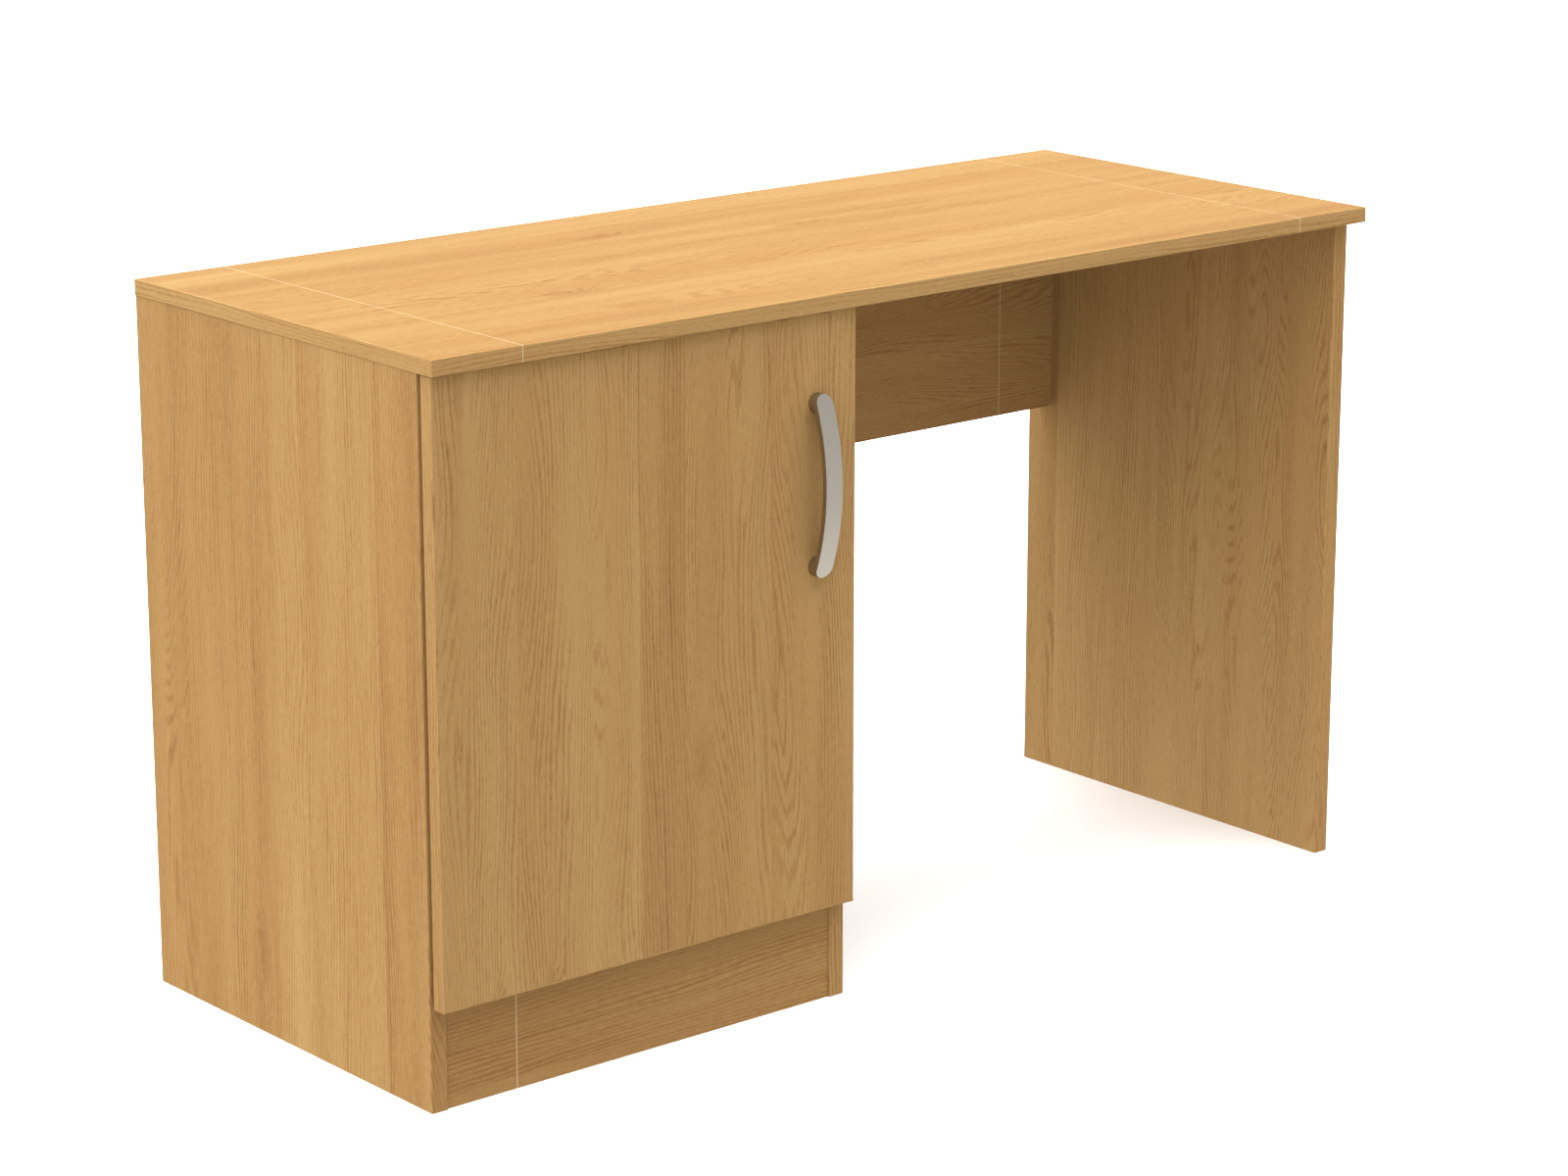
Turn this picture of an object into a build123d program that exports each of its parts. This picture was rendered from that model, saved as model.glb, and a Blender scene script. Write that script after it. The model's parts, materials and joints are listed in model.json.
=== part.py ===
from build123d import *

import math
import os

# Teacher desk with a cupboard at its left, a kneehole and an end panel at its right.
# Millimetres. X runs left to right, Y front to back and Z up. The origin is on the floor,
# under the middle of the whole desk with its handle.

# Desk
DESK_WIDTH = 1200.0
DESK_DEPTH = 490.0
DESK_HEIGHT = 715.0
CUPBOARD_WIDTH = 500.0
SIDE_OVERHANG = 1.0
FRONT_OVERHANG = 25.0
PLINTH_HEIGHT = 100.0
PLINTH_SET_BACK = 2.0
MODESTY_HEIGHT = 272.0
MODESTY_INSET = 18.0
BACK_INSET = 8.0
RAIL_DEPTH = 90.0

# Boards
DESKTOP_THICK = 16.0
DOOR_THICK = 16.0
BOARD_THICK = 18.0
BACK_THICK = 8.0
EDGING_THICK = 2.0
ARRIS = 1.0  # rounding along an edging strip's outer corners
GROOVE_DEPTH = 8.0
GROOVE_PLAY = 0.1
BACK_PLAY = 0.5

# Door
DOOR_WIDTH = 495.0
DOOR_BACK_GAP = 2.0  # between the door and the carcass
DOOR_TOP_GAP = 1.0  # between the door and the desktop
DOOR_BOTTOM_RISE = 2.0  # from the plinth's top to the door's bottom
DOOR_SIDE_REVEAL = 2.5
BUMPER_RADIUS = 4.0
BUMPER_HEIGHT = 1.7
BUMPER_END_DISTANCE = 28.0

# Bow handle
HANDLE_CENTRES = 160.0
HANDLE_WIDTH = 20.0
HANDLE_END_REACH = 13.0
HANDLE_MIDDLE_REACH = 27.0
HANDLE_BAR_THICK = 5.5
HANDLE_SIDE_INSET = 49.0
HANDLE_TOP_DROP = 86.5
HANDLE_THREAD_DEPTH = 9.0

# Shelf and its pins
SHELF_SET_BACK = 25.0
SHELF_PLAY = 1.0
PIN_HEIGHT = 400.0
PIN_HOLES_PER_ROW = 7
PIN_HOLE_PITCH = 32.0
PIN_ROW_INSET = 37.0  # from the front and back of the space inside
PIN_RADIUS = 2.5
PIN_GRIP = 9.0
PIN_HOLE_DEPTH = 10.0
PIN_COLLAR_RADIUS = 4.5
PIN_COLLAR_LENGTH = 0.8
PIN_TONGUE_SIDE = 8.0
PIN_TONGUE_THICK = 2.0

# Concealed hinges
HINGE_END_DISTANCE = 90.0  # from the door's top and bottom to each cup's centre
CUP_RADIUS = 17.4
CUP_WALL = 0.7
CUP_DEPTH = 12.5
CUP_BORE_PLAY = 0.3  # under the cup
CUP_EDGE_DISTANCE = 20.5  # from the door's edge to the cup's centre
CUP_SCREW_HALF_SPACING = 24.0
CUP_SCREW_OFFSET = 9.5
FLANGE_THICK = 1.0
FLANGE_HALF_LENGTH = 30.0
FLANGE_PAST_SCREWS = 6.0
FLANGE_CORNER = 5.0
PIVOT_EDGE_DISTANCE = 6.4
PIVOT_DEPTH = 9.2
PIVOT_PIN_RADIUS = 1.2
PIVOT_PLAY = 0.05
KNUCKLE_RADIUS = 1.9
KNUCKLE_HALF_WIDTH = 4.0
EAR_THICK = 1.6
EAR_MARGIN = 3.0  # of an ear around the pivot
EAR_PLAY = 0.4  # between an ear and the knuckle
ARM_THICK = 2.2
ARM_REACH = 12.6  # from the pivot to the arm's long run
ARM_START_ANGLE = -3.0
ARM_BEND_RADIUS = 4.0
ARM_HALF_WIDTH = 8.0
ARM_WIDE_FROM = 8.0  # behind the carcass front
ARM_REAR_Y = -140.0
ARM_PLAY = 0.2  # between the arm's walls and the plate
ARM_SCREW_HALF_SPACING = 17.0
PLATE_THICK = 1.8
PLATE_INSET = 14.0
PLATE_HALF_WIDTH = 6.0
PLATE_CORNER = 4.0
PLATE_SCREW_INSET = 37.0  # from the carcass front, as for the shelf pins
PLATE_SCREW_HALF_SPACING = 16.0
PLATE_MARGIN = 8.0  # of the wing past its screws
PLATE_WING_HALF_DEPTH = 7.0

# Magnetic catch
CATCH_WIDTH = 40.0
CATCH_HEIGHT = 12.0
CATCH_DEPTH = 14.2
CATCH_SET_BACK = 0.8
CATCH_SIDE_INSET = 43.0
CATCH_CORNER = 2.0
CATCH_SCREW_HALF_SPACING = 15.5
CATCH_SCREW_INSET = 8.0
CATCH_FLOOR = 2.0  # from the housing's underside to its screws' seats
MAGNET_WIDTH = 20.0
MAGNET_HEIGHT = 7.0
MAGNET_DEPTH = 11.7
MAGNET_DROP = 2.5
MAGNET_PROUD = 0.7
STRIKE_THICK = 1.0
STRIKE_SIZE = (34.0, 11.0)
STRIKE_SCREW_OFFSET = 13.5

# Fasteners. A screw is its shank radius, head radius and head height.
BORE_PLAY = 0.1
CUT_PAST = 1.0  # how far a cut runs past the face that it starts from
WOOD_SCREW = (1.75, 3.4, 2.0)
STRIKE_SCREW = (1.5, 2.4, 0.8)
DESKTOP_SCREW = (2.0, 4.0, 2.4)
PLATE_SCREW = (2.4, 3.6, 1.8)
MACHINE_SCREW = (2.0, 4.0, 2.4)
SCREW_BITE = 11.0  # of a screw in the board that it holds
DOWEL_RADIUS = 4.0
DOWEL_LENGTH = 30.0
DOWEL_IN_FACE = 12.0
CAM_RADIUS = 7.4
CAM_HEIGHT = 12.4
CAM_DISTANCE = 34.0  # from a board's end to its cam
CAM_POCKET = (4.0, 7.6)  # radius and height of the hollow round the bolt's head
CAM_NECK_SLOT = 6.6
CAM_CROSS = (8.0, 1.6, 5.0)  # length, width and height of the driver's cross
CAM_BOLT_HEAD = (3.2, 3.0)
CAM_BOLT_NECK = (2.2, 6.0)
CAM_BOLT_RADIUS = 3.0
CAM_BOLT_START = 5.0  # from the cam's middle to the full shank
CAM_BOLT_GRIP = 11.0
CAM_INSET = 50.0  # from the ends of a joint to its cams
RAIL_CAM_INSET = 30.0
RAIL_DOWEL_INSET = 62.0
DESKTOP_SCREW_INSET = 62.0
BLOCK_SIDE = 20.0
BLOCK_LENGTH = 48.0
BLOCK_CHAMFER = 4.0
BLOCK_COUNTERBORE = 6.0
BLOCK_INSET = 110.0  # from the end panel's front edge, and from the modesty panel

# Places worked out from the dimensions above
LEFT = -DESK_WIDTH / 2
RIGHT = DESK_WIDTH / 2
HANDLE_PROUD = HANDLE_MIDDLE_REACH + DOOR_THICK + DOOR_BACK_GAP - FRONT_OVERHANG
FRONT = (HANDLE_PROUD - DESK_DEPTH) / 2
BACK = FRONT + DESK_DEPTH
CARCASS_FRONT = FRONT + FRONT_OVERHANG
UNDERSIDE = DESK_HEIGHT - DESKTOP_THICK
SIDE_OUT = LEFT + SIDE_OVERHANG
SIDE_IN = SIDE_OUT + BOARD_THICK
INNER_OUT = LEFT + CUPBOARD_WIDTH + SIDE_OVERHANG
INNER_IN = INNER_OUT - BOARD_THICK
END_OUT = RIGHT - SIDE_OVERHANG
END_IN = END_OUT - BOARD_THICK
BACK_REAR = BACK - BACK_INSET
BACK_FRONT = BACK_REAR - BACK_THICK
MODESTY_REAR = BACK - MODESTY_INSET
MODESTY_FRONT = MODESTY_REAR - BOARD_THICK
MODESTY_MIDDLE = (MODESTY_FRONT + MODESTY_REAR) / 2
MODESTY_BOTTOM = UNDERSIDE - MODESTY_HEIGHT
PLINTH_FRONT = CARCASS_FRONT + PLINTH_SET_BACK
PLINTH_REAR = PLINTH_FRONT + BOARD_THICK
BASE_TOP = PLINTH_HEIGHT + BOARD_THICK
BASE_MIDDLE = PLINTH_HEIGHT + BOARD_THICK / 2
RAIL_BOTTOM = UNDERSIDE - BOARD_THICK
RAIL_MIDDLE = UNDERSIDE - BOARD_THICK / 2
REAR_RAIL_FRONT = BACK_FRONT - RAIL_DEPTH
DOOR_LEFT = SIDE_OUT + DOOR_SIDE_REVEAL
DOOR_RIGHT = DOOR_LEFT + DOOR_WIDTH
DOOR_BACK = CARCASS_FRONT - DOOR_BACK_GAP
DOOR_FRONT = DOOR_BACK - DOOR_THICK
DOOR_TOP = UNDERSIDE - DOOR_TOP_GAP
DOOR_BOTTOM = PLINTH_HEIGHT + DOOR_BOTTOM_RISE
HANDLE_X = DOOR_RIGHT - HANDLE_SIDE_INSET
HANDLE_Z = DOOR_TOP - HANDLE_TOP_DROP - HANDLE_CENTRES / 2
PIN_ROWS = (CARCASS_FRONT + PIN_ROW_INSET, BACK_FRONT - PIN_ROW_INSET)
HINGE_HEIGHTS = {"upper": DOOR_TOP - HINGE_END_DISTANCE, "lower": DOOR_BOTTOM + HINGE_END_DISTANCE}
CUP_X = DOOR_LEFT + CUP_EDGE_DISTANCE
CUP_SCREW_X = CUP_X + CUP_SCREW_OFFSET
PIVOT_X = DOOR_LEFT + PIVOT_EDGE_DISTANCE
PIVOT_Y = DOOR_BACK - PIVOT_DEPTH
ARM_X = PIVOT_X + ARM_REACH
PLATE_SCREW_Y = CARCASS_FRONT + PLATE_SCREW_INSET
CATCH_X = INNER_IN - CATCH_SIDE_INSET - CATCH_WIDTH / 2
MAGNET_TOP = RAIL_BOTTOM - MAGNET_DROP
INSIDE_X = (SIDE_IN, INNER_IN)
MODESTY_Y = (MODESTY_FRONT, MODESTY_REAR)

UP = Vector(0, 0, 1)
DOWN = Vector(0, 0, -1)
TO_LEFT = Vector(-1, 0, 0)
TO_RIGHT = Vector(1, 0, 0)
TO_FRONT = Vector(0, -1, 0)
TO_BACK = Vector(0, 1, 0)
FROM_BASE = (Align.CENTER, Align.CENTER, Align.MIN)
EACH_WAY = (-1, 1)


# Basic shapes

def block(x, y, z):
    """A square-edged block between (low, high) pairs."""
    centre = [(low + high) / 2 for low, high in (x, y, z)]
    size = [high - low for low, high in (x, y, z)]
    return Pos(*centre) * Box(*size)


def about(middle, half):
    """The (low, high) pair that reaches half to each side of middle."""
    return (middle - half, middle + half)


def rod(start, direction, radius, length):
    """A round rod that runs from start along direction."""
    return Plane(origin=start, z_dir=direction) * Cylinder(radius, length, align=FROM_BASE)


def outer_face(solid, outward):
    """The face of solid that lies furthest along outward."""
    return max(solid.faces(), key=lambda face: face.center().dot(outward))


def boxes_meet(first, second):
    """Whether two shapes' bounding boxes overlap."""
    a = first.bounding_box()
    b = second.bounding_box()
    lows = [max(pair) for pair in zip(tuple(a.min), tuple(b.min))]
    highs = [min(pair) for pair in zip(tuple(a.max), tuple(b.max))]
    return all(low < high for low, high in zip(lows, highs))


def drilled(board, bores):
    """The board less every bore that reaches into it."""
    for bore in bores:
        if boxes_meet(board, bore):
            board -= bore
    return board


# Boards with their edging

def edging(x, y, z, outward, wraps_ends=False):
    """An edging strip. Its outer corners are rounded, at its ends too where it wraps them."""
    strip = block(x, y, z)
    if wraps_ends:
        inner = outer_face(strip, outward * -1).edges()
        return fillet(strip.edges() - inner, ARRIS)
    return fillet(outer_face(strip, outward).edges().sort_by(SortBy.LENGTH)[-2:], ARRIS)


def upright(outer_x, inner_x, has_groove):
    """An upright board and its front and rear edging. A groove for the back may run down its inner face."""
    x = sorted((outer_x, inner_x))
    z = (0.0, UNDERSIDE)
    board = block(x, (CARCASS_FRONT + EDGING_THICK, BACK - EDGING_THICK), z)
    if has_groove:
        groove_x = about(inner_x, GROOVE_DEPTH)
        groove_y = (BACK_FRONT - GROOVE_PLAY, BACK_REAR + GROOVE_PLAY)
        board -= block(groove_x, groove_y, (-CUT_PAST, UNDERSIDE + CUT_PAST))
    front = edging(x, (CARCASS_FRONT, CARCASS_FRONT + EDGING_THICK), z, TO_FRONT)
    rear = edging(x, (BACK - EDGING_THICK, BACK), z, TO_BACK)
    return board, front, rear


def edged_shelf(x, y, z):
    """A flat board and the edging strip on its front edge."""
    board = block(x, (y[0] + EDGING_THICK, y[1]), z)
    front = edging(x, (y[0], y[0] + EDGING_THICK), z, TO_FRONT)
    return board, front


def rimmed_desktop(x, y, z):
    """The desktop and its front, rear, left and right edging. The first two wrap the corners."""
    inner_x = (x[0] + EDGING_THICK, x[1] - EDGING_THICK)
    inner_y = (y[0] + EDGING_THICK, y[1] - EDGING_THICK)
    board = block(inner_x, inner_y, z)
    front = edging(x, (y[0], inner_y[0]), z, TO_FRONT, wraps_ends=True)
    rear = edging(x, (inner_y[1], y[1]), z, TO_BACK, wraps_ends=True)
    left = edging((x[0], inner_x[0]), inner_y, z, TO_LEFT)
    right = edging((inner_x[1], x[1]), inner_y, z, TO_RIGHT)
    return board, front, rear, left, right


def rimmed_door(x, y, z):
    """The door board and its top, bottom, left and right edging. The last two wrap the corners."""
    inner_x = (x[0] + EDGING_THICK, x[1] - EDGING_THICK)
    inner_z = (z[0] + EDGING_THICK, z[1] - EDGING_THICK)
    board = block(inner_x, y, inner_z)
    top = edging(inner_x, y, (inner_z[1], z[1]), UP)
    bottom = edging(inner_x, y, (z[0], inner_z[0]), DOWN)
    left = edging((x[0], inner_x[0]), y, z, TO_LEFT, wraps_ends=True)
    right = edging((inner_x[1], x[1]), y, z, TO_RIGHT, wraps_ends=True)
    return board, top, bottom, left, right


# Fasteners. Each returns its solids and the bores that they need in the boards.

def screw(seat, direction, sizes, grip):
    """A screw whose head's underside lies at seat. Its shank runs along direction."""
    shank_radius, head_radius, head_height = sizes
    head = rod(seat, direction * -1, head_radius, head_height)
    head = fillet(outer_face(head, direction * -1).edges(), head_height / 3)
    shank = rod(seat, direction, shank_radius, grip)
    shank = chamfer(outer_face(shank, direction).edges(), shank_radius / 2)
    slot_width = head_radius / 4
    slot = Box(head_radius, slot_width, head_height) + Box(slot_width, head_radius, head_height)
    slot = Plane(origin=seat - direction * head_height, z_dir=direction) * slot
    bore = rod(seat - direction * CUT_PAST, direction, shank_radius + BORE_PLAY, grip + CUT_PAST + BORE_PLAY)
    return head + shank - slot, bore


def dowel(face_point, into_face):
    """A wooden dowel across a joint. The longer part sits in the other board's end."""
    start = face_point - into_face * (DOWEL_LENGTH - DOWEL_IN_FACE)
    pin = rod(start, into_face, DOWEL_RADIUS, DOWEL_LENGTH)
    ends = outer_face(pin, into_face).edges() + outer_face(pin, into_face * -1).edges()
    bore_start = start - into_face * CUT_PAST
    bore = rod(bore_start, into_face, DOWEL_RADIUS + BORE_PLAY, DOWEL_LENGTH + 2 * CUT_PAST)
    return chamfer(ends, DOWEL_RADIUS / 4), bore


def cam_joint(face_point, into_face, cam_side):
    """A cam lock in a board's end and the bolt that it draws. cam_side is the cam's open face."""
    place = Plane(origin=face_point - into_face * CAM_DISTANCE, x_dir=into_face, z_dir=cam_side)
    cam_floor = Vector(0, 0, BOARD_THICK / 2 - CAM_HEIGHT)
    cross_length, cross_width, cross_height = CAM_CROSS
    cross = Box(cross_length, cross_width, cross_height) + Box(cross_width, cross_length, cross_height)
    cam = rod(cam_floor, UP, CAM_RADIUS, CAM_HEIGHT)
    cam -= Cylinder(*CAM_POCKET)
    cam -= Pos(CAM_RADIUS / 2, 0, 0) * Box(CAM_RADIUS + CUT_PAST, CAM_NECK_SLOT, CAM_NECK_SLOT)
    cam -= Pos(0, 0, BOARD_THICK / 2) * cross
    neck_radius, neck_length = CAM_BOLT_NECK
    shank_start = Vector(CAM_BOLT_START, 0, 0)
    shank_length = CAM_DISTANCE - CAM_BOLT_START + CAM_BOLT_GRIP
    bolt = Plane.YZ * Cylinder(*CAM_BOLT_HEAD)
    bolt += rod(Vector(0, 0, 0), TO_RIGHT, neck_radius, neck_length)
    bolt += rod(shank_start, TO_RIGHT, CAM_BOLT_RADIUS, shank_length)
    bore_floor = cam_floor + DOWN * BORE_PLAY
    grip_start = Vector(CAM_DISTANCE - CUT_PAST, 0, 0)
    bores = [
        rod(bore_floor, UP, CAM_RADIUS + BORE_PLAY, CAM_HEIGHT + BORE_PLAY + CUT_PAST),
        rod(Vector(0, 0, 0), TO_RIGHT, CAM_BOLT_RADIUS + CUT_PAST, CAM_DISTANCE),
        rod(grip_start, TO_RIGHT, CAM_BOLT_RADIUS + BORE_PLAY, CAM_BOLT_GRIP + 2 * CUT_PAST),
    ]
    return place * cam, place * bolt, [place * bore for bore in bores]


def corner_block(corner, out_of_first, out_of_second):
    """A block in the corner of two boards, with a screw into each. The normals lead out of the boards."""
    along = out_of_first.cross(out_of_second)
    middle = BLOCK_SIDE / 2
    body = Pos(middle, 0, middle) * Box(BLOCK_SIDE, BLOCK_LENGTH, BLOCK_SIDE)
    outer_edge = body.edges().filter_by(Axis.Y).sort_by(lambda edge: edge.center().X + edge.center().Z)[-1]
    body = Plane(origin=corner, x_dir=out_of_first, z_dir=out_of_second) * chamfer(outer_edge, BLOCK_CHAMFER)
    seat_height = BLOCK_SIDE - BLOCK_COUNTERBORE
    screws = []
    bores = []
    for normal, other, side in ((out_of_first, out_of_second, 1), (out_of_second, out_of_first, -1)):
        seat = corner + other * middle + along * (side * BLOCK_LENGTH / 4) + normal * seat_height
        solid, bore = screw(seat, normal * -1, WOOD_SCREW, seat_height + SCREW_BITE)
        screws.append(solid)
        bores.append(bore)
        body -= bore
        body -= rod(seat, normal, WOOD_SCREW[1] + BORE_PLAY, BLOCK_COUNTERBORE + CUT_PAST)
    return body, screws, bores


def board_joints():
    """The cams, bolts and dowels of the cupboard's base and rails and of the modesty panel."""
    cupboard_ends = ((SIDE_IN, TO_LEFT), (INNER_IN, TO_RIGHT))
    kneehole_ends = ((INNER_OUT, TO_LEFT), (END_IN, TO_RIGHT))
    base_cams = [(CARCASS_FRONT + CAM_INSET, BASE_MIDDLE), (BACK_FRONT - CAM_INSET, BASE_MIDDLE)]
    base_dowels = [((CARCASS_FRONT + BACK_FRONT) / 2, BASE_MIDDLE)]
    rail_fronts = (CARCASS_FRONT, REAR_RAIL_FRONT)
    rail_cams = [(rail_front + RAIL_CAM_INSET, RAIL_MIDDLE) for rail_front in rail_fronts]
    rail_dowels = [(rail_front + RAIL_DOWEL_INSET, RAIL_MIDDLE) for rail_front in rail_fronts]
    modesty_cams = [(MODESTY_MIDDLE, MODESTY_BOTTOM + CAM_INSET), (MODESTY_MIDDLE, UNDERSIDE - CAM_INSET)]
    modesty_dowels = [(MODESTY_MIDDLE, UNDERSIDE - MODESTY_HEIGHT / 2)]
    cams = []
    bolts = []
    dowels = []
    bores = []
    for board_ends, cam_places, dowel_places, cam_side in (
        (cupboard_ends, base_cams, base_dowels, DOWN),
        (cupboard_ends, rail_cams, rail_dowels, DOWN),
        (kneehole_ends, modesty_cams, modesty_dowels, TO_BACK),
    ):
        for face_x, into_face in board_ends:
            for y, z in cam_places:
                cam, bolt, cam_bores = cam_joint(Vector(face_x, y, z), into_face, cam_side)
                cams.append(cam)
                bolts.append(bolt)
                bores.extend(cam_bores)
            for y, z in dowel_places:
                pin, bore = dowel(Vector(face_x, y, z), into_face)
                dowels.append(pin)
                bores.append(bore)
    return cams, bolts, dowels, bores


def rail_screws():
    """The screws that run up through the rails into the desktop."""
    screws = []
    bores = []
    for x in (SIDE_IN + DESKTOP_SCREW_INSET, INNER_IN - DESKTOP_SCREW_INSET):
        for rail_front in (CARCASS_FRONT, REAR_RAIL_FRONT):
            seat = Vector(x, rail_front + RAIL_DEPTH / 2, RAIL_BOTTOM)
            solid, bore = screw(seat, UP, DESKTOP_SCREW, BOARD_THICK + SCREW_BITE)
            screws.append(solid)
            bores.append(bore)
    return screws, bores


def all_corner_blocks():
    """The blocks behind the plinth, and those under the desktop round the kneehole."""
    blocks = []
    screws = []
    bores = []
    for corner, out_of_first, out_of_second in (
        (Vector(SIDE_IN, PLINTH_REAR, PLINTH_HEIGHT / 2), TO_RIGHT, TO_BACK),
        (Vector(INNER_IN, PLINTH_REAR, PLINTH_HEIGHT / 2), TO_LEFT, TO_BACK),
        (Vector(END_IN, CARCASS_FRONT + BLOCK_INSET, UNDERSIDE), TO_LEFT, DOWN),
        (Vector(END_IN, MODESTY_FRONT - BLOCK_INSET, UNDERSIDE), TO_LEFT, DOWN),
        (Vector((INNER_OUT + END_IN) / 2, MODESTY_FRONT, UNDERSIDE), TO_FRONT, DOWN),
    ):
        body, block_screws, block_bores = corner_block(corner, out_of_first, out_of_second)
        blocks.append(body)
        screws.extend(block_screws)
        bores.extend(block_bores)
    return blocks, screws, bores


def all_shelf_pins():
    """The four pins that carry the shelf, and every hole in the rows that they stand in."""
    pins = []
    bores = []
    lowest = PIN_HEIGHT - (PIN_HOLES_PER_ROW // 2) * PIN_HOLE_PITCH
    for side_x, inwards in ((SIDE_IN, TO_RIGHT), (INNER_IN, TO_LEFT)):
        for row_y in PIN_ROWS:
            for step in range(PIN_HOLES_PER_ROW):
                mouth = Vector(side_x, row_y, lowest + step * PIN_HOLE_PITCH)
                start = mouth + inwards * CUT_PAST
                bores.append(rod(start, inwards * -1, PIN_RADIUS + BORE_PLAY, PIN_HOLE_DEPTH + CUT_PAST))
            mouth = Vector(side_x, row_y, PIN_HEIGHT)
            pin = rod(mouth - inwards * PIN_GRIP, inwards, PIN_RADIUS, PIN_GRIP)
            pin += rod(mouth, inwards, PIN_COLLAR_RADIUS, PIN_COLLAR_LENGTH)
            tongue_x = sorted((side_x, side_x + inwards.X * PIN_TONGUE_SIDE))
            pin += block(tongue_x, about(row_y, PIN_TONGUE_SIDE / 2), about(PIN_HEIGHT, PIN_TONGUE_THICK / 2))
            pins.append(pin)
    return pins, bores


# Handle

def bow_handle():
    """A bowed bar with round ends on two posts, threaded for screws from behind the door."""
    rise = HANDLE_MIDDLE_REACH - HANDLE_END_REACH
    half = HANDLE_CENTRES / 2
    radius = (half ** 2 + rise ** 2) / (2 * rise)
    bow_y = DOOR_FRONT - HANDLE_MIDDLE_REACH + radius
    bow_start = Vector(HANDLE_X - HANDLE_WIDTH / 2, bow_y, HANDLE_Z)
    outer = rod(bow_start, TO_RIGHT, radius, HANDLE_WIDTH)
    inner = rod(bow_start, TO_RIGHT, radius - HANDLE_BAR_THICK, HANDLE_WIDTH)
    facing = Plane(origin=(HANDLE_X, DOOR_FRONT, HANDLE_Z), x_dir=UP, z_dir=TO_FRONT)
    outline = SlotOverall(HANDLE_CENTRES + HANDLE_WIDTH, HANDLE_WIDTH)
    handle = (outer - inner) & (facing * extrude(outline, HANDLE_MIDDLE_REACH + CUT_PAST))
    for side in EACH_WAY:
        foot = Vector(HANDLE_X, DOOR_FRONT, HANDLE_Z + side * half)
        handle += rod(foot, TO_FRONT, HANDLE_WIDTH / 2, HANDLE_END_REACH) & outer
        thread_start = foot - TO_FRONT * CUT_PAST
        handle -= rod(thread_start, TO_FRONT, MACHINE_SCREW[0] + BORE_PLAY, HANDLE_THREAD_DEPTH + CUT_PAST)
    return handle


def handle_fixings():
    """The two screws that hold the handle from behind the door."""
    screws = []
    bores = []
    grip = DOOR_THICK + HANDLE_THREAD_DEPTH - 2 * CUT_PAST
    for side in EACH_WAY:
        seat = Vector(HANDLE_X, DOOR_BACK, HANDLE_Z + side * HANDLE_CENTRES / 2)
        solid, bore = screw(seat, TO_FRONT, MACHINE_SCREW, grip)
        screws.append(solid)
        bores.append(bore)
    return screws, bores


# Concealed hinges, each worked out around its cup's centre height

def hinge_cup(height):
    """A pressed cup with a flange to screw down and two ears that carry the pivot pin."""
    mouth = Vector(CUP_X, DOOR_BACK, height)
    flange_x = (PIVOT_X, CUP_SCREW_X + FLANGE_PAST_SCREWS)
    flange = block(flange_x, (DOOR_BACK, DOOR_BACK + FLANGE_THICK), about(height, FLANGE_HALF_LENGTH))
    flange = fillet(flange.edges().filter_by(Axis.Y), FLANGE_CORNER)
    hollow_start = mouth + TO_BACK * 2 * FLANGE_THICK
    hollow_depth = CUP_DEPTH - CUP_WALL + 2 * FLANGE_THICK
    cup = rod(mouth, TO_FRONT, CUP_RADIUS, CUP_DEPTH) + flange
    cup -= rod(hollow_start, TO_FRONT, CUP_RADIUS - CUP_WALL, hollow_depth)
    ear_x = (DOOR_LEFT + EDGING_THICK, PIVOT_X + EAR_MARGIN)
    ear_y = (DOOR_BACK - CUP_DEPTH + CUP_WALL / 2, PIVOT_Y + EAR_MARGIN)
    ear_low = KNUCKLE_HALF_WIDTH + EAR_PLAY
    ear_limit = rod(mouth, TO_FRONT, CUP_RADIUS - CUP_WALL / 2, CUP_DEPTH)
    for side in EACH_WAY:
        ear_z = sorted((height + side * ear_low, height + side * (ear_low + EAR_THICK)))
        cup += block(ear_x, ear_y, ear_z) & ear_limit
    pin_reach = ear_low + EAR_THICK + CUT_PAST
    cup -= rod(Vector(PIVOT_X, PIVOT_Y, height - pin_reach), UP, PIVOT_PIN_RADIUS + PIVOT_PLAY, 2 * pin_reach)
    return cup


def hinge_arm(height):
    """A cranked arm: a knuckle in the cup, a short reach, a bend and a long run on the side panel."""
    bend_y = PIVOT_Y + ARM_REACH * math.tan(math.radians(ARM_START_ANGLE))
    path = FilletPolyline((PIVOT_X, PIVOT_Y), (ARM_X, bend_y), (ARM_X, ARM_REAR_Y), radius=ARM_BEND_RADIUS)
    arm = extrude(trace(path, ARM_THICK), KNUCKLE_HALF_WIDTH, both=True)
    arm += Pos(PIVOT_X, PIVOT_Y, 0) * Cylinder(KNUCKLE_RADIUS, 2 * KNUCKLE_HALF_WIDTH)
    wide_y = (CARCASS_FRONT + ARM_WIDE_FROM, ARM_REAR_Y)
    arm += block(about(ARM_X, ARM_THICK / 2), wide_y, about(0.0, ARM_HALF_WIDTH))
    wall_x = (SIDE_IN + PLATE_THICK + ARM_PLAY, ARM_X)
    for side in EACH_WAY:
        wall_z = sorted((side * (ARM_HALF_WIDTH - ARM_THICK / 2), side * ARM_HALF_WIDTH))
        arm += block(wall_x, wide_y, wall_z)
    arm -= Pos(PIVOT_X, PIVOT_Y, 0) * Cylinder(PIVOT_PIN_RADIUS + PIVOT_PLAY, 3 * KNUCKLE_HALF_WIDTH)
    return Pos(0, 0, height) * arm


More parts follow.
